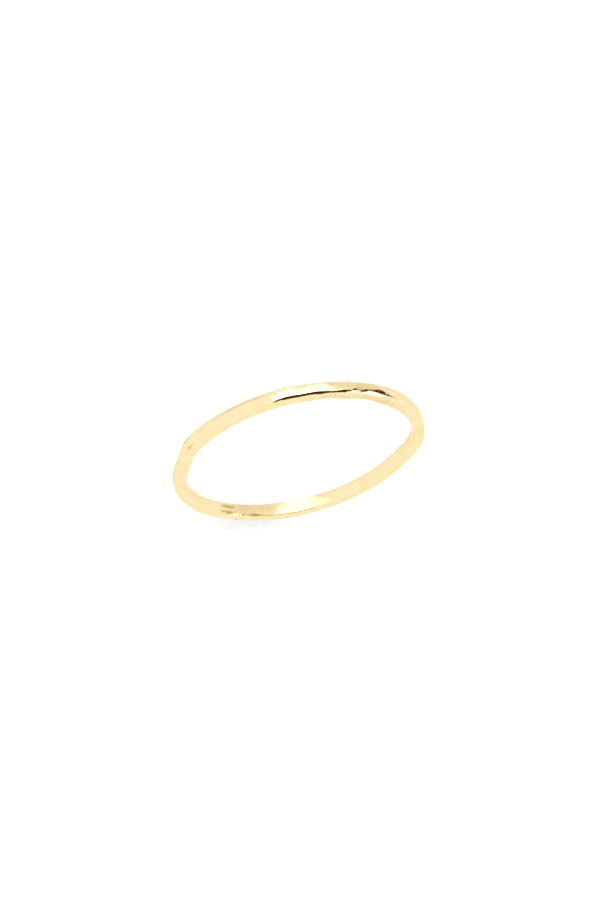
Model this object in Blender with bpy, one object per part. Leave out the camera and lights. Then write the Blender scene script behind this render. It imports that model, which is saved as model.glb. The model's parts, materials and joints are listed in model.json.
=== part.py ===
"""A slim stacking ring: one gold band with a softly squared section, planished by hand and lying on its side.

Run it with blender --background --python part.py, or from Blender's text editor.
Blender units are metres, +Z up. A finger goes through the band along Z, and its underside rests on z = 0.
"""

from collections import namedtuple

import bmesh
import bpy
import numpy as np

MM = 0.001

# Driving dimensions in millimetres
INNER_DIAMETER = 17.3
WALL = 0.92  # from the inner face to the outer
WIDTH = 1.02  # along the finger
SIDE_WEAR = 0.02  # worn off each side face, which leaves it flat where the rings of a stack meet
OUTER_SQUARENESS = 3.2  # exponent of the section's outline: 2 is an oval, and more is nearer to a rectangle
INNER_SQUARENESS = 8.0  # the same on the finger's side, whose corners are crisper
FLAT_DOME = 19.0  # how gently a hammered flat falls off along the band, as a radius measured from the true circle
EDGE_SOFTNESS = 40  # exponent that blends a flat into its neighbours: more is a crisper edge

# How finely the band is cut
SECTIONS = 160
SECTION_POINTS = 24
CORNER_CROWDING = 0.45  # share by which the points of a section gather at its corners

GOLD = (0.93, 0.78, 0.45, 1.0)
GOLD_ROUGHNESS = 0.12

# Where hammering has moved the band, from +X towards +Y in degrees: the shift of its centre line away from
# the middle, what its wall and its width gain, and the lean that turns its outer face up, in degrees.
# The band runs smoothly between the rows.
Station = namedtuple("Station", "angle shift wall width lean")
STATIONS = (
    Station(0, 0.00, 0.00, 0.03, 0),
    Station(20, -0.11, -0.01, 0.01, 0),
    Station(34, -0.11, 0.03, 0.02, 12),
    Station(46, -0.10, 0.04, 0.04, 26),
    Station(60, -0.11, 0.04, 0.02, 13),
    Station(70, -0.05, 0.03, 0.02, 0),
    Station(90, 0.13, 0.02, 0.00, 0),
    Station(118, 0.17, 0.02, 0.01, 0),
    Station(142, 0.10, 0.04, 0.00, 0),
    Station(160, -0.16, -0.12, 0.02, 0),
    Station(180, -0.01, 0.02, 0.02, 0),
    Station(198, 0.00, -0.06, 0.02, 0),
    Station(212, 0.07, 0.00, -0.06, 0),
    Station(235, 0.04, -0.02, -0.05, 0),
    Station(262, 0.05, 0.02, 0.02, 0),
    Station(300, -0.05, -0.02, -0.03, 0),
    Station(325, -0.12, -0.03, 0.00, 0),
    Station(343, 0.11, -0.05, -0.01, 0),
)

# The flats that the hammer left. The tilt is which way a flat faces, in degrees from straight outwards (0)
# up to the top side face (90), and the length is along the band in millimetres.
Flat = namedtuple("Flat", "angle tilt length")
OUTER_FLATS = (
    Flat(12, 4, 2.9),
    Flat(31, -8, 3.0),
    Flat(51, 10, 2.4),
    Flat(64, 0, 2.5),
    Flat(82, -6, 2.7),
    Flat(101, 5, 3.0),
    Flat(121, -4, 3.1),
    Flat(141, 7, 2.8),
    Flat(158, -6, 2.3),
    Flat(171, 3, 3.8),
    Flat(196, -5, 3.2),
    Flat(214, 6, 2.2),
    Flat(230, -3, 3.0),
    Flat(253, 4, 3.1),
    Flat(273, -7, 2.9),
    Flat(290, 3, 2.3),
    Flat(306, 0, 2.8),
    Flat(333, -4, 2.2),
    Flat(352, 6, 3.0),
)
EDGE_FLATS = (
    Flat(34, 38, 1.7),
    Flat(55, 52, 1.5),
    Flat(73, 40, 1.4),
    Flat(112, 47, 1.6),
    Flat(150, 42, 1.5),
    Flat(187, 50, 1.6),
    Flat(222, 44, 1.7),
    Flat(264, 46, 1.5),
    Flat(281, 40, 1.3),
    Flat(318, 48, 1.6),
)
SIDE_FLATS = (
    Flat(22, 84, 2.0),
    Flat(68, 95, 2.2),
    Flat(104, 86, 1.9),
    Flat(146, 94, 2.1),
    Flat(190, 88, 2.0),
    Flat(239, 93, 2.2),
    Flat(270, 85, 1.9),
    Flat(312, 92, 2.1),
)
FLATS = OUTER_FLATS + EDGE_FLATS + SIDE_FLATS


def clear_scene():
    for thing in list(bpy.data.objects):
        bpy.data.objects.remove(thing, do_unlink=True)


def from_to(start, end):
    """Degrees from one bearing to another the short way round, between -180 and 180."""
    return (end - start + 180) % 360 - 180


def along_stations(bearings, column):
    """One column of STATIONS at each bearing, on a smooth closed curve through the rows."""
    turn = [row.angle for row in STATIONS]
    value = [getattr(row, column) for row in STATIONS]
    knots = np.array([a - 360 for a in turn] + turn + [a + 360 for a in turn])
    values = np.array(value * 3)
    slopes = np.gradient(values, knots)
    after = np.searchsorted(knots, bearings, side="right")
    before = after - 1
    span = knots[after] - knots[before]
    t = (bearings - knots[before]) / span
    return (
        (2 * t**3 - 3 * t**2 + 1) * values[before]
        + (t**3 - 2 * t**2 + t) * span * slopes[before]
        + (3 * t**2 - 2 * t**3) * values[after]
        + (t**3 - t**2) * span * slopes[after]
    )


def section_directions():
    """Where each point of a section lies, as an angle from straight outwards up round its centre."""
    even = np.linspace(0, 2 * np.pi, SECTION_POINTS, endpoint=False)
    return even + CORNER_CROWDING * np.sin(4 * even) / 4


def band_points():
    """The band's surface in millimetres: an array of sections, of the points round each, of x, y and z."""
    bearings = np.linspace(0, 360, SECTIONS, endpoint=False)
    wall = WALL + along_stations(bearings, "wall")
    width = WIDTH + along_stations(bearings, "width")
    centre_line = (INNER_DIAMETER + WALL) / 2 + along_stations(bearings, "shift")
    half_wall = wall[:, None] / 2
    half_width = width[:, None] / 2 + SIDE_WEAR

    lean = np.radians(along_stations(bearings, "lean"))[:, None]
    across = section_directions()
    outwards, upwards = np.cos(across), np.sin(across)
    squareness = np.where(outwards > 0, OUTER_SQUARENESS, INNER_SQUARENESS)
    # Each term is the share of the way to one face that a step of 1 mm in that direction goes.
    reach = (abs(outwards / half_wall) ** squareness + abs(upwards / half_width) ** squareness) ** (1 / squareness)
    total = reach**EDGE_SOFTNESS
    dual = OUTER_SQUARENESS / (OUTER_SQUARENESS - 1)
    for flat in FLATS:
        tilt = np.radians(flat.tilt) - lean
        out, up = np.cos(tilt), np.sin(tilt)
        skin = (abs(half_wall * out) ** dual + abs(half_width * up) ** dual) ** (1 / dual)
        away = np.radians(from_to(flat.angle, bearings))[:, None] * centre_line[:, None]
        depth = ((flat.length / 2) ** 2 - away**2) / (2 * FLAT_DOME)
        if flat in SIDE_FLATS:
            depth = depth + SIDE_WEAR
        facing = np.clip(outwards * out + upwards * up, 0, None)
        total = total + (facing / (skin - depth)) ** EDGE_SOFTNESS
    step = total ** (-1 / EDGE_SOFTNESS)

    radius = centre_line[:, None] + step * np.cos(across + lean)
    height = np.clip(width[:, None] / 2 + step * np.sin(across + lean), 0, width[:, None])
    turn = np.radians(bearings)[:, None]
    return np.stack([radius * np.cos(turn), radius * np.sin(turn), height], axis=2)


def gold():
    material = bpy.data.materials.new("polished_gold")
    material.use_nodes = True
    shader = material.node_tree.nodes["Principled BSDF"]
    shader.inputs["Base Color"].default_value = GOLD
    shader.inputs["Metallic"].default_value = 1.0
    shader.inputs["Roughness"].default_value = GOLD_ROUGHNESS
    return material


def make_band():
    """Skins the sections one after the other, and the last to the first."""
    bm = bmesh.new()
    loops = [[bm.verts.new(point * MM) for point in section] for section in band_points()]
    for here, there in zip(loops, loops[1:] + loops[:1]):
        for a in range(SECTION_POINTS):
            b = (a + 1) % SECTION_POINTS
            bm.faces.new((here[a], there[a], there[b], here[b]))
    mesh = bpy.data.meshes.new("ring_band")
    bm.to_mesh(mesh)
    bm.free()
    mesh.shade_smooth()
    mesh.materials.append(gold())
    band = bpy.data.objects.new("ring_band", mesh)
    bpy.context.collection.objects.link(band)
    return band


clear_scene()
make_band()
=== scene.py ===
"""The looks of a slim stacking ring: pale-gold plate, polished over light hammering, on a white table."""

import json
from collections import namedtuple
from math import cos, radians, sin

import bpy
import numpy as np
from mathutils import Matrix, Vector

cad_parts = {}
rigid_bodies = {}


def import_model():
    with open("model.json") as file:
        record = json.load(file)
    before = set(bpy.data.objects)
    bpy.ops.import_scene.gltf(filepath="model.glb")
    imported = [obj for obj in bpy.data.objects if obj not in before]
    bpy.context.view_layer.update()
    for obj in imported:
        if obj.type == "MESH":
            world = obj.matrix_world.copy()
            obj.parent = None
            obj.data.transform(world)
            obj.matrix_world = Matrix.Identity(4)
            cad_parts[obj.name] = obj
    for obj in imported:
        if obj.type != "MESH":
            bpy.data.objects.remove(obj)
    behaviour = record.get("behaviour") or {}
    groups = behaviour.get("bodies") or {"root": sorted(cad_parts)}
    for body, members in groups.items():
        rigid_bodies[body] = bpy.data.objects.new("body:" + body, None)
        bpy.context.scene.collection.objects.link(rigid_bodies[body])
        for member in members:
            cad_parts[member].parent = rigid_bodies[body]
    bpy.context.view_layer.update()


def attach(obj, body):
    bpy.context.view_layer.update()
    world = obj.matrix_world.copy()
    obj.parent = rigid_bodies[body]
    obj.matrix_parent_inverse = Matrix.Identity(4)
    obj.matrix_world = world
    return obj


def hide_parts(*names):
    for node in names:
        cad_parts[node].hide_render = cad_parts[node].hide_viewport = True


MM = 0.001

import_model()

# The band's sizes in millimetres, as its solid has them
INNER_DIAMETER = 17.3
WALL = 0.92
WIDTH = 1.02
SIDE_WEAR = 0.02
OUTER_SQUARENESS = 3.2  # exponent of the section's outline: 2 is an oval, and more is nearer to a rectangle
INNER_SQUARENESS = 24.0  # the same on the finger's side, a little crisper than the solid's corners
FLAT_DOME = 19.0  # how gently a hammered flat falls off along the band
EDGE_SOFTNESS = 40  # exponent that blends a flat into its neighbours: more is a crisper edge
POLISH = 0.006  # what polishing takes off, which keeps the finer skin inside the solid's box

# The polished skin is far finer than the solid, so that it mirrors smoothly
SECTIONS = 1200
SECTION_POINTS = 82
CORNER_CROWDING = 0.60  # share by which the points of a section gather at its corners

# Where hammering has moved the band, from +X towards +Y in degrees: the shift of its centre line away from
# the middle, what its wall and its width gain, and the lean that turns its outer face up, in degrees
Station = namedtuple("Station", "angle shift wall width lean")
STATIONS = (
    Station(0, 0.00, 0.00, 0.03, 0),
    Station(20, -0.11, -0.01, 0.01, 0),
    Station(34, -0.11, 0.03, 0.02, 12),
    Station(46, -0.10, 0.04, 0.04, 26),
    Station(60, -0.11, 0.04, 0.02, 13),
    Station(70, -0.05, 0.03, 0.02, 0),
    Station(90, 0.13, 0.02, 0.00, 0),
    Station(118, 0.17, 0.02, 0.01, 0),
    Station(142, 0.10, 0.04, 0.00, 0),
    Station(160, -0.16, -0.12, 0.02, 0),
    Station(180, -0.01, 0.02, 0.02, 0),
    Station(198, 0.00, -0.06, 0.02, 0),
    Station(212, 0.07, 0.00, -0.06, 0),
    Station(235, 0.04, -0.02, -0.05, 0),
    Station(262, 0.05, 0.02, 0.02, 0),
    Station(300, -0.05, -0.02, -0.03, 0),
    Station(325, -0.12, -0.03, 0.00, 0),
    Station(343, 0.11, -0.05, -0.01, 0),
)

# The flats that the hammer left. The tilt is which way a flat faces, in degrees from straight outwards (0)
# up to the top side face (90), and the length is along the band in millimetres.
Flat = namedtuple("Flat", "angle tilt length")
OUTER_FLATS = (
    Flat(12, 4, 2.9),
    Flat(31, -8, 3.0),
    Flat(51, 10, 2.4),
    Flat(64, 0, 2.5),
    Flat(82, -6, 2.7),
    Flat(101, 5, 3.0),
    Flat(121, -4, 3.1),
    Flat(141, 7, 2.8),
    Flat(158, -6, 2.3),
    Flat(171, 3, 3.8),
    Flat(196, -5, 3.2),
    Flat(214, 6, 2.2),
    Flat(230, -3, 3.0),
    Flat(253, 4, 3.1),
    Flat(273, -7, 2.9),
    Flat(290, 3, 2.3),
    Flat(306, 0, 2.8),
    Flat(333, -4, 2.2),
    Flat(352, 6, 3.0),
)
EDGE_FLATS = (
    Flat(34, 38, 1.7),
    Flat(55, 52, 1.5),
    Flat(73, 40, 1.4),
    Flat(112, 47, 1.6),
    Flat(150, 42, 1.5),
    Flat(187, 50, 1.6),
    Flat(222, 44, 1.7),
    Flat(264, 46, 1.5),
    Flat(281, 40, 1.3),
    Flat(318, 48, 1.6),
)
SIDE_FLATS = (
    Flat(22, 84, 2.0),
    Flat(68, 95, 2.2),
    Flat(104, 86, 1.9),
    Flat(146, 94, 2.1),
    Flat(190, 88, 2.0),
    Flat(239, 93, 2.2),
    Flat(270, 85, 1.9),
    Flat(312, 92, 2.1),
)
FLATS = OUTER_FLATS + EDGE_FLATS + SIDE_FLATS

# Smaller blows, which only the fine skin shows; the depth is at the middle, in millimetres.
# A tilt past 90 is on the finger's side.
Dent = namedtuple("Dent", "angle tilt length depth")
DENTS = (
    Dent(224, 163, 1.1, 0.020),
    Dent(230.2, 150, 1.8, 0.056),
    Dent(238, 160, 1.3, 0.018),
    Dent(139.4, 34, 0.50, 0.020),
    Dent(141.6, 20, 0.45, 0.024),
    Dent(159.0, 4, 0.40, 0.010),
    Dent(45.2, 20, 0.95, 0.006),
    Dent(37.8, 21.5, 1.0, 0.007),
    Dent(65.5, 21, 1.8, 0.008),
)
DENT_SOFTNESS = 150  # how crisply a dent's edge meets its neighbours, as for EDGE_SOFTNESS

# Small blows scattered along the two outer corners
CHATTER = 130
CHATTER_SEED = 2478
CHATTER_JITTER = 0.7  # how far one strays from its even place, as a share of the step between two
CHATTER_TILT = (8, 62)  # degrees up or down from straight outwards
CHATTER_ABOVE = 0.6  # the share of them on the upper corner
CHATTER_LENGTH = (0.25, 0.75)
CHATTER_DEPTH = (0.002, 0.006)

# Waves of the polished skin
RIPPLE_SEED = 11
RIPPLE_WAVES = 36  # how many are laid over each other
RIPPLE_LONGEST = 24  # how many of the longest fit round the band, and of the shortest
RIPPLE_SHORTEST = 150
RIPPLE_FADES = 60  # where more than this fit round the band, they are fainter
RIPPLE_ROUND = 4  # the most that fit round the section
RIPPLE_SLOPE = 0.006  # how steep the waves are

# The camera's angle to the ring, as the photo shows it
ELEVATION = 26.61  # degrees above the ring's plane, on its +Y side
ROLL = 14.87  # how far the ring's long axis in the picture climbs to the right
DISTANCE = 247.0  # in millimetres
PICTURE = (600, 920)
MM_PER_PIXEL = 0.07399  # at the middle of the ring
RING_PIXEL = (298.19, 452.88)  # the middle of the ring, from the picture's upper left corner
SENSOR_WIDTH = 36

# The plate's tones
PALE_GOLD = (0.935, 0.80, 0.495, 1)
DEEP_GOLD = (0.915, 0.765, 0.425, 1)
PINK_GOLD = (0.945, 0.77, 0.47, 1)
RIM_GOLD = (0.98, 0.905, 0.745, 1)  # holds the colour where the skin is seen at a slant
PIT_BROWN = (0.45, 0.27, 0.09, 1)
# A deeper gold painted into the plate's colour as reflections of darker surroundings and as shade
PAINTED_REFLECTION_GOLD = (0.58, 0.385, 0.11, 1)

# Cloudy changes of the plate: cells for each millimetre, how detailed they are, and where they start and
# end on the noise's own scale, whose middle is 0.5
Mottle = namedtuple("Mottle", "scale detail start end")
DEEPER = Mottle(0.9, 3.0, 0.40, 0.62)
BLUSH = Mottle(2.3, 5.0, 0.50, 0.72)
HAZE = Mottle(1.6, 4.0, 0.35, 0.70)

# Hairline scratches: cells for each millimetre along the band and across it, and where a line starts and
# is full on the noise's own scale
HAIR_ALONG = 0.7
HAIR_ACROSS = 34
HAIR_EDGE = (0.60, 0.72)

PIT_CELLS = 2.2  # for each millimetre, and the share of them with a pit in the middle
PIT_SHARE = 0.2
PIT_EDGE = (0.13, 0.06)  # the pit's rim and floor, from the middle, as shares of a cell

# Roughness of the bare polish, and what haze, scratches and pits add
POLISH_ROUGH = 0.055
HAZE_ROUGH = 0.05
HAIR_ROUGH = 0.08
PIT_ROUGH = 0.30

# Relief in millimetres: the wavering skin, with its cells for each millimetre and their detail
WAVER_DEPTH = 0.004
WAVER_CELLS = 3.2
WAVER_DETAIL = 2.0
HAIR_DEPTH = 0.0006
PIT_DEPTH = 0.006

# Deeper-toned streaks and patches painted into the plate's colour: painted reflections of darker surroundings
# and painted shade; sizes in millimetres. The tilt is as for a flat, but it is measured from the band's own
# lean, and past 180 it is on the lower half of the finger's side.
PaintedReflection = namedtuple("PaintedReflection", "angle tilt length breadth strength")
PAINTED_REFLECTIONS = (
    PaintedReflection(53, -25, 4.6, 0.75, 0.36),
    PaintedReflection(54.6, -9, 0.7, 0.20, 0.90),
    PaintedReflection(45, 97, 5.5, 1.10, 0.26),
    PaintedReflection(66, 93, 3.2, 0.34, 0.40),
    PaintedReflection(70.6, 33, 0.30, 0.09, 0.80),
    PaintedReflection(76.8, 32, 0.40, 0.08, 0.80),
    PaintedReflection(109, -31, 4.6, 0.15, 0.42),
    PaintedReflection(138.6, 38, 0.7, 0.11, 0.50),
    PaintedReflection(141.2, 41, 0.5, 0.30, 0.65),
    PaintedReflection(141.8, -37, 1.5, 0.20, 0.80),
    PaintedReflection(159.4, -11, 0.55, 0.17, 0.70),
    PaintedReflection(179, -20, 3.2, 0.95, 0.30),
    PaintedReflection(224.8, 202, 1.6, 0.27, 0.90),
    PaintedReflection(224.4, 148, 1.5, 0.24, 1.00),
    PaintedReflection(236.5, 190, 5.0, 1.10, 0.34),
    PaintedReflection(239.0, 140, 1.8, 0.24, 1.00),
    PaintedReflection(247, 137, 3.2, 0.16, 0.40),
    PaintedReflection(255.5, 196, 0.7, 0.45, 0.25),
    PaintedReflection(269.5, 197, 0.6, 0.35, 0.30),
)
BAND_LENGTH = 57.5  # once round the ring, and once round its section
SECTION_GIRTH = 3.6
PAINTED_REFLECTION_CELLS = 2.8  # cells of the noise that makes the edges ragged, for each millimetre, and their detail
PAINTED_REFLECTION_DETAIL = 4.0
PAINTED_REFLECTION_RAGGED = 1.6  # how far that noise moves an edge, as a share of half the painted patch
PAINTED_REFLECTION_EDGE = (2.2, 1.1)  # where a painted reflection ends and where it is full, on the same scale, noise included


def from_to(start, end):
    """Degrees from one bearing to another the short way round, between -180 and 180."""
    return (end - start + 180) % 360 - 180


def along_stations(bearings, column):
    """One column of STATIONS at each bearing, on a smooth closed curve through the rows."""
    turn = [row.angle for row in STATIONS]
    value = [getattr(row, column) for row in STATIONS]
    knots = np.array([a - 360 for a in turn] + turn + [a + 360 for a in turn])
    values = np.array(value * 3)
    slopes = np.gradient(values, knots)
    after = np.searchsorted(knots, bearings, side="right")
    before = after - 1
    span = knots[after] - knots[before]
    t = (bearings - knots[before]) / span
    return (
        (2 * t**3 - 3 * t**2 + 1) * values[before]
        + (t**3 - 2 * t**2 + t) * span * slopes[before]
        + (3 * t**2 - 2 * t**3) * values[after]
        + (t**3 - t**2) * span * slopes[after]
    )


def chatter():
    """The scatter of small dents along the outer corners, more of them along the upper one."""
    rng = np.random.default_rng(CHATTER_SEED)
    dents = []
    for k in range(CHATTER):
        angle = 360 * (k + rng.uniform(-CHATTER_JITTER, CHATTER_JITTER)) / CHATTER
        tilt = rng.uniform(*CHATTER_TILT)
        if rng.random() >= CHATTER_ABOVE:
            tilt = -tilt
        length = rng.uniform(*CHATTER_LENGTH)
        dents.append(Dent(angle, tilt, length, rng.uniform(*CHATTER_DEPTH)))
    return dents


def ripple(bearings, across):
    """The faint swell that polishing by hand leaves, in millimetres at each point of the skin."""
    rng = np.random.default_rng(RIPPLE_SEED)
    swell = 0.0
    for _ in range(RIPPLE_WAVES):
        along = rng.integers(RIPPLE_LONGEST, RIPPLE_SHORTEST)
        around = rng.integers(-RIPPLE_ROUND, RIPPLE_ROUND + 1)
        phase = rng.uniform(0, 2 * np.pi)
        height = RIPPLE_SLOPE * INNER_DIAMETER / 2 / along * min(1, RIPPLE_FADES / along)
        swell = swell + height * np.cos(along * np.radians(bearings)[:, None] + around * across + phase)
    return swell


def section_directions():
    """Where each point of a section lies, as an angle from straight outwards up round its centre."""
    even = np.linspace(0, 2 * np.pi, SECTION_POINTS, endpoint=False)
    return even + CORNER_CROWDING * np.sin(4 * even) / 4


def skin_distance(half_wall, half_width, out, up, squareness):
    """How far from its centre the rounded section reaches in a direction, before any hammering."""
    dual = squareness / (squareness - 1)
    return (abs(half_wall * out) ** dual + abs(half_width * up) ** dual) ** (1 / dual)


def band_points():
    """The band's surface in millimetres: an array of sections, of the points round each, of x, y and z."""
    bearings = np.linspace(0, 360, SECTIONS, endpoint=False)
    wall = WALL + along_stations(bearings, "wall")
    width = WIDTH + along_stations(bearings, "width")
    centre_line = (INNER_DIAMETER + WALL) / 2 + along_stations(bearings, "shift")
    half_wall = wall[:, None] / 2
    half_width = width[:, None] / 2 + SIDE_WEAR

    lean = np.radians(along_stations(bearings, "lean"))[:, None]
    across = section_directions()
    outwards, upwards = np.cos(across), np.sin(across)
    squareness = np.where(outwards > 0, OUTER_SQUARENESS, INNER_SQUARENESS)
    # Each term is the share of the way to one face that a step of 1 mm in that direction goes.
    to_walls = abs(outwards / half_wall) ** squareness
    to_sides = abs(upwards / half_width) ** squareness
    reach = (to_walls + to_sides) ** (1 / squareness)
    total = reach**EDGE_SOFTNESS
    for flat in FLATS:
        tilt = np.radians(flat.tilt) - lean
        out, up = np.cos(tilt), np.sin(tilt)
        skin = skin_distance(half_wall, half_width, out, up, OUTER_SQUARENESS)
        away = np.radians(from_to(flat.angle, bearings))[:, None] * centre_line[:, None]
        depth = ((flat.length / 2) ** 2 - away**2) / (2 * FLAT_DOME)
        if flat in SIDE_FLATS:
            depth = depth + SIDE_WEAR
        facing = np.clip(outwards * out + upwards * up, 0, None)
        total = total + (facing / (skin - depth)) ** EDGE_SOFTNESS
    total = total ** (DENT_SOFTNESS / EDGE_SOFTNESS)
    for dent in list(DENTS) + chatter():
        near = abs(np.radians(from_to(dent.angle, bearings))) * centre_line < dent.length / 2
        tilt = np.radians(dent.tilt) - lean[near]
        out, up = np.cos(tilt), np.sin(tilt)
        squareness = INNER_SQUARENESS if dent.tilt > 90 else OUTER_SQUARENESS
        skin = skin_distance(half_wall[near], half_width[near], out, up, squareness)
        away = np.radians(from_to(dent.angle, bearings[near]))[:, None] * centre_line[near, None]
        depth = dent.depth * (1 - (2 * away / dent.length) ** 2)
        facing = np.clip(outwards * out + upwards * up, 0, None)
        total[near] += (facing / (skin - depth)) ** DENT_SOFTNESS
    step = total ** (-1 / DENT_SOFTNESS) - POLISH + ripple(bearings, across)

    radius = centre_line[:, None] + step * np.cos(across + lean)
    height = np.clip(width[:, None] / 2 + step * np.sin(across + lean), 0, width[:, None] - POLISH)
    turn = np.radians(bearings)[:, None]
    return np.stack([radius * np.cos(turn), radius * np.sin(turn), height], axis=2)


def value_node(nodes, links, kind, *inputs):
    """A Math node with numbers or other nodes' outputs on its inputs; returns its output."""
    node = nodes.new("ShaderNodeMath")
    node.operation = kind
    for socket, value in zip(node.inputs, inputs):
        if isinstance(value, (int, float)):
            socket.default_value = value
        else:
            links.new(value, socket)
    return node.outputs[0]


def soft_step(nodes, links, value, start, end, run="SMOOTHSTEP"):
    """0 where the value is below start and 1 past end, with a smooth run between; start may be the larger."""
    node = nodes.new("ShaderNodeMapRange")
    node.interpolation_type = run
    links.new(value, node.inputs["Value"])
    node.inputs["From Min"].default_value = start
    node.inputs["From Max"].default_value = end
    return node.outputs[0]


def noise(nodes, links, place, scale, detail=3.0):
    """A Noise texture read at a place; returns its value, about 0.3 to 0.7 with a middle of 0.5."""
    node = nodes.new("ShaderNodeTexNoise")
    node.inputs["Scale"].default_value = scale
    node.inputs["Detail"].default_value = detail
    links.new(place, node.inputs["Vector"])
    return node.outputs["Fac"]


def mottling(nodes, links, place, mottle):
    """How far a cloudy change has come on at a place, 0 to 1."""
    clouds = noise(nodes, links, place, mottle.scale, mottle.detail)
    return soft_step(nodes, links, clouds, mottle.start, mottle.end)


def blend_colour(nodes, links, share, start, end):
    """Runs from one colour to another; the first may be another node's output."""
    mix = nodes.new("ShaderNodeMix")
    mix.data_type = "RGBA"
    links.new(share, mix.inputs["Factor"])
    if isinstance(start, tuple):
        mix.inputs[6].default_value = start
    else:
        links.new(start, mix.inputs[6])
    mix.inputs[7].default_value = end
    return mix.outputs[2]


def raise_bump(nodes, links, height, depth, under=None):
    """A Bump node over the one under it; the depth is in millimetres."""
    node = nodes.new("ShaderNodeBump")
    node.inputs["Strength"].default_value = 1.0
    node.inputs["Distance"].default_value = depth * MM
    links.new(height, node.inputs["Height"])
    if under:
        links.new(under, node.inputs["Normal"])
    return node.outputs[0]


def painted_reflections(nodes, links, place):
    """How far the painted reflections and painted shade darken the skin, from 0 to 1, with ragged edges."""
    raggedness = noise(nodes, links, place, PAINTED_REFLECTION_CELLS, PAINTED_REFLECTION_DETAIL)
    flat = nodes.new("ShaderNodeUVMap")
    flat.uv_map = "along_and_round"
    reflected_dark = 0.0
    for patch in PAINTED_REFLECTIONS:
        aside = nodes.new("ShaderNodeVectorMath")
        aside.operation = "SUBTRACT"
        links.new(flat.outputs[0], aside.inputs[0])
        aside.inputs[1].default_value = (patch.angle / 360, (patch.tilt + 90) / 360, 0)
        scaled = nodes.new("ShaderNodeVectorMath")
        scaled.operation = "MULTIPLY"
        links.new(aside.outputs[0], scaled.inputs[0])
        along, across = 2 * BAND_LENGTH / patch.length, 2 * SECTION_GIRTH / patch.breadth
        scaled.inputs[1].default_value = (along, across, 0)
        far = nodes.new("ShaderNodeVectorMath")
        far.operation = "LENGTH"
        links.new(scaled.outputs[0], far.inputs[0])
        distance = value_node(nodes, links, "MULTIPLY_ADD", raggedness, PAINTED_REFLECTION_RAGGED, far.outputs["Value"])
        inside = soft_step(nodes, links, distance, *PAINTED_REFLECTION_EDGE)
        inside = value_node(nodes, links, "MULTIPLY", inside, patch.strength)
        reflected_dark = value_node(nodes, links, "MAXIMUM", inside, reflected_dark)
    return reflected_dark


def scratches(nodes, links, place):
    """Hairlines in long thin cells that run along the band: coarse in x and y, fine in radius and height."""
    split = nodes.new("ShaderNodeSeparateXYZ")
    links.new(place, split.inputs[0])
    x, y, z = split.outputs
    radius = value_node(nodes, links, "MULTIPLY", x, x)
    radius = value_node(nodes, links, "MULTIPLY_ADD", y, y, radius)
    radius = value_node(nodes, links, "SQRT", radius)
    cells = nodes.new("ShaderNodeCombineXYZ")
    links.new(value_node(nodes, links, "MULTIPLY", x, HAIR_ALONG), cells.inputs[0])
    links.new(value_node(nodes, links, "MULTIPLY", y, HAIR_ALONG), cells.inputs[1])
    links.new(value_node(nodes, links, "MULTIPLY", radius, HAIR_ACROSS), cells.inputs[2])
    lines = nodes.new("ShaderNodeTexNoise")
    lines.noise_dimensions = "4D"
    lines.inputs["Scale"].default_value = 1.0
    lines.inputs["Detail"].default_value = 1.0
    links.new(cells.outputs[0], lines.inputs["Vector"])
    links.new(value_node(nodes, links, "MULTIPLY", z, HAIR_ACROSS), lines.inputs["W"])
    return soft_step(nodes, links, lines.outputs["Fac"], *HAIR_EDGE)


def pits(nodes, links, place):
    """Tiny round pits in the middle of some cells."""
    cells = nodes.new("ShaderNodeTexVoronoi")
    cells.inputs["Scale"].default_value = PIT_CELLS
    links.new(place, cells.inputs["Vector"])
    pit = soft_step(nodes, links, cells.outputs["Distance"], *PIT_EDGE)
    chosen = nodes.new("ShaderNodeSeparateColor")
    links.new(cells.outputs["Color"], chosen.inputs[0])
    chosen = value_node(nodes, links, "LESS_THAN", chosen.outputs[0], PIT_SHARE)
    return value_node(nodes, links, "MULTIPLY", pit, chosen)


def gold():
    """Gold plate: mottled tones, a skin that wavers, hairline scratches along the band, a few pits, and
    painted reflections and shade in a deeper tone.
    """
    material = bpy.data.materials.new("polished_gold_plate")
    material.use_nodes = True
    nodes, links = material.node_tree.nodes, material.node_tree.links
    shader = nodes["Principled BSDF"]
    shader.inputs["Metallic"].default_value = 1.0
    shader.inputs["Specular Tint"].default_value = RIM_GOLD

    place = nodes.new("ShaderNodeVectorMath")
    place.operation = "SCALE"
    place.inputs["Scale"].default_value = 1 / MM
    links.new(nodes.new("ShaderNodeTexCoord").outputs["Object"], place.inputs[0])
    place = place.outputs[0]

    scratch = scratches(nodes, links, place)
    pit = pits(nodes, links, place)

    colour = blend_colour(nodes, links, mottling(nodes, links, place, DEEPER), PALE_GOLD, DEEP_GOLD)
    colour = blend_colour(nodes, links, mottling(nodes, links, place, BLUSH), colour, PINK_GOLD)
    # Painted reflections and painted shade: deeper-toned streaks and patches where the polish mirrors darker
    # surroundings
    colour = blend_colour(nodes, links, painted_reflections(nodes, links, place), colour, PAINTED_REFLECTION_GOLD)
    colour = blend_colour(nodes, links, pit, colour, PIT_BROWN)
    links.new(colour, shader.inputs["Base Color"])

    haze = mottling(nodes, links, place, HAZE)
    rough = value_node(nodes, links, "MULTIPLY_ADD", haze, HAZE_ROUGH, POLISH_ROUGH)
    rough = value_node(nodes, links, "MULTIPLY_ADD", scratch, HAIR_ROUGH, rough)
    rough = value_node(nodes, links, "MULTIPLY_ADD", pit, PIT_ROUGH, rough)
    links.new(rough, shader.inputs["Roughness"])

    waver = noise(nodes, links, place, WAVER_CELLS, WAVER_DETAIL)
    bump = raise_bump(nodes, links, waver, WAVER_DEPTH)
    bump = raise_bump(nodes, links, scratch, -HAIR_DEPTH, bump)
    bump = raise_bump(nodes, links, pit, -PIT_DEPTH, bump)
    links.new(bump, shader.inputs["Normal"])
    return material


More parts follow.
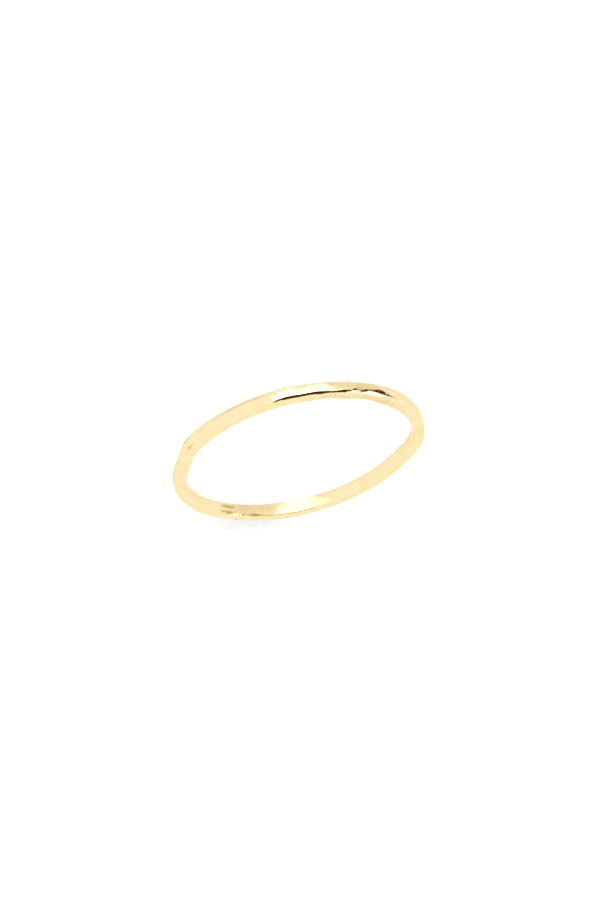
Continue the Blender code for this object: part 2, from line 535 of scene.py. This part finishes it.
def unwrap(mesh):
    """Lays the skin out flat: along the band, and from the underside round the section, each from 0 to 1."""
    u = np.arange(SECTIONS)[:, None, None] + np.array([0, 1, 1, 0])
    start = (np.degrees(section_directions()) / 360 + 0.25) % 1
    end = np.roll(start, -1)
    end[end < start] += 1
    v = np.stack([start, start, end, end], axis=1)[None]
    u, v = np.broadcast_arrays(u / SECTIONS, v)
    layer = mesh.uv_layers.new(name="along_and_round")
    layer.data.foreach_set("uv", np.stack([u, v], axis=3).reshape(-1))


def make_band():
    """Skins the fine sections, the last to the first."""
    points = band_points().reshape(-1, 3) * MM
    here = np.arange(SECTIONS)[:, None] * SECTION_POINTS
    there = np.roll(np.arange(SECTIONS), -1)[:, None] * SECTION_POINTS
    a = np.arange(SECTION_POINTS)[None, :]
    b = np.roll(np.arange(SECTION_POINTS), -1)[None, :]
    faces = np.stack([here + a, there + a, there + b, here + b], axis=2).reshape(-1, 4)
    mesh = bpy.data.meshes.new("planished_band")
    mesh.from_pydata(points.tolist(), [], faces.tolist())
    mesh.shade_smooth()
    unwrap(mesh)
    band = bpy.data.objects.new("planished_band", mesh)
    bpy.context.scene.collection.objects.link(band)
    mesh.materials.append(gold())
    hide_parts("ring_band")
    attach(band, "root")
    return band


# Pools of brighter light on the table, and a soft shade behind the ring, in millimetres
Pool = namedtuple("Pool", "x y radius soft light")
POOLS = (
    Pool(4.6, 17.5, 6.9, 1.0, 1.5),
    Pool(3.1, 11.5, 1.75, 0.7, 1.0),
    Pool(0.9, 12.2, 1.9, 0.6, 1.2),
    Pool(-0.75, -7.4, 0.75, 0.9, 0.75),
    Pool(-6.6, -8.7, 0.3, 3.0, -0.10),
    Pool(-4.7, -10.1, 0.3, 3.0, -0.12),
    Pool(-2.6, -10.8, 0.3, 3.0, -0.10),
)
POOL_CELLS = 0.9  # cells of the noise that makes the edges ragged, for each millimetre
POOL_RAGGED = 1.6  # how far that noise moves an edge outwards, half of it on average
TABLE_GLOW = 0.84
TABLE_WHITE = 0.26
TABLE_REACH = 1.2  # in metres, as is the gap under the ring
TABLE_GAP = 0.00001


def make_floor():
    """A white table whose even glow stands in for the light that falls on it."""
    size, low = TABLE_REACH, -TABLE_GAP
    mesh = bpy.data.meshes.new("white_table")
    corners = [(-size, -size, low), (size, -size, low), (size, size, low), (-size, size, low)]
    mesh.from_pydata(corners, [], [(0, 1, 2, 3)])
    floor = bpy.data.objects.new("white_table", mesh)
    bpy.context.scene.collection.objects.link(floor)
    material = bpy.data.materials.new("white_table")
    material.use_nodes = True
    nodes, links = material.node_tree.nodes, material.node_tree.links
    shader = nodes["Principled BSDF"]
    shader.inputs["Base Color"].default_value = (TABLE_WHITE, TABLE_WHITE, TABLE_WHITE, 1)
    shader.inputs["Roughness"].default_value = 1.0
    shader.inputs["Specular IOR Level"].default_value = 0.0
    shader.inputs["Emission Color"].default_value = (1, 1, 1, 1)
    where = nodes.new("ShaderNodeTexCoord").outputs["Object"]
    ragged = noise(nodes, links, where, POOL_CELLS / MM)
    glow = TABLE_GLOW
    for pool in POOLS:
        distance = nodes.new("ShaderNodeVectorMath")
        distance.operation = "DISTANCE"
        links.new(where, distance.inputs[0])
        distance.inputs[1].default_value = (pool.x * MM, pool.y * MM, low)
        far = distance.outputs["Value"]
        distance = value_node(nodes, links, "MULTIPLY_ADD", ragged, POOL_RAGGED * MM, far)
        outer = (pool.radius + pool.soft + POOL_RAGGED / 2) * MM
        inner = (pool.radius + POOL_RAGGED / 2) * MM
        edge = soft_step(nodes, links, distance, outer, inner)
        glow = value_node(nodes, links, "MULTIPLY_ADD", edge, pool.light, glow)
    links.new(glow, shader.inputs["Emission Strength"])
    mesh.materials.append(material)


# The studio round the table, in degrees: bearings from +X towards +Y, and heights above the table
Zone = namedtuple("Zone", "start end low high soft")
DARK_ZONES = (
    Zone(36, 88, 5, 76, 16),
    Zone(60, 95, 6, 74, 6),
    Zone(26.5, 42, -8, 36, 3),
    Zone(18, 30, -4, 6, 3),
    Zone(15, 20, -2, 27, 3),
    Zone(8, 18, 2, 10, 3),
    Zone(-5, 10, -2, 13, 4),
    Zone(-16, -2, -3, 7, 4),
)
BRIGHT_ZONES = (
    Zone(42, 98, -20, 5, 4),
    Zone(-5, 29, 4, 32, 5),
)
WARM_COLOUR = (0.50, 0.34, 0.15, 1)
DARK_COLOUR = (0.06, 0.024, 0.0, 1)
WARM_RUN = (0.0, 0.5)  # the share of dark over which the warm tone comes on, and then the dark itself
DARK_RUN = (0.4, 1.0)
EXTRA_LIGHT = 1.6
WORLD_LIGHT = 1.06


def make_world():
    """Even white light from all round, with brighter and darker zones that the polish mirrors."""
    world = bpy.data.worlds.new("studio")
    world.use_nodes = True
    nodes, links = world.node_tree.nodes, world.node_tree.links
    back = nodes["Background"]
    where = nodes.new("ShaderNodeTexCoord")

    split = nodes.new("ShaderNodeSeparateXYZ")
    links.new(where.outputs["Generated"], split.inputs[0])
    bearing = value_node(nodes, links, "ARCTAN2", split.outputs["Y"], split.outputs["X"])
    height = value_node(nodes, links, "ARCSINE", split.outputs["Z"])

    def share(zone):
        """How far a direction lies inside a zone, 0 to 1."""
        edges = (
            (bearing, zone.start, 1),
            (bearing, zone.end, -1),
            (height, zone.low, 1),
            (height, zone.high, -1),
        )
        inside = 1.0
        for angle, edge, side in edges:
            outer, inner = radians(edge - side * zone.soft / 2), radians(edge + side * zone.soft / 2)
            step = soft_step(nodes, links, angle, outer, inner, "LINEAR")
            inside = value_node(nodes, links, "MULTIPLY", step, inside)
        return inside

    bright = WORLD_LIGHT
    for zone in BRIGHT_ZONES:
        bright = value_node(nodes, links, "MULTIPLY_ADD", share(zone), EXTRA_LIGHT, bright)
    dark = 0.0
    for zone in DARK_ZONES:
        dark = value_node(nodes, links, "MAXIMUM", share(zone), dark)
    # The dark comes on through a warm half-light
    colour = blend_colour(nodes, links, soft_step(nodes, links, dark, *WARM_RUN), bright, WARM_COLOUR)
    colour = blend_colour(nodes, links, soft_step(nodes, links, dark, *DARK_RUN), colour, DARK_COLOUR)
    links.new(colour, back.inputs["Color"])
    bpy.context.scene.world = world


def make_camera():
    """Stands on the ring's +Y side, above the table, and is rolled over as the photo shows the ring."""
    e, roll = radians(ELEVATION), radians(ROLL)
    back = Vector((0, cos(e), sin(e)))
    level = Vector((1, 0, 0))
    over = Vector((0, sin(e), -cos(e)))
    right = cos(roll) * level - sin(roll) * over
    up = sin(roll) * level + cos(roll) * over
    middle = Vector((0, 0, WIDTH / 2 * MM))
    aside = (RING_PIXEL[0] - PICTURE[0] / 2) * MM_PER_PIXEL * MM
    above = (PICTURE[1] / 2 - RING_PIXEL[1]) * MM_PER_PIXEL * MM
    data = bpy.data.cameras.new("camera")
    data.sensor_width = SENSOR_WIDTH
    data.lens = DISTANCE / MM_PER_PIXEL / PICTURE[1] * data.sensor_width
    data.clip_start, data.clip_end = 0.01, 10
    camera = bpy.data.objects.new("camera", data)
    turn = Matrix((right, up, back)).transposed().to_4x4()
    place = middle + back * DISTANCE * MM - right * aside - up * above
    camera.matrix_world = Matrix.Translation(place) @ turn
    bpy.context.scene.collection.objects.link(camera)
    bpy.context.scene.camera = camera


for startup in [o for o in bpy.data.objects if o.name in ("Cube", "Light", "Camera")]:
    bpy.data.objects.remove(startup)
bpy.context.scene.view_settings.view_transform = "Standard"
make_camera()
make_band()
make_floor()
make_world()
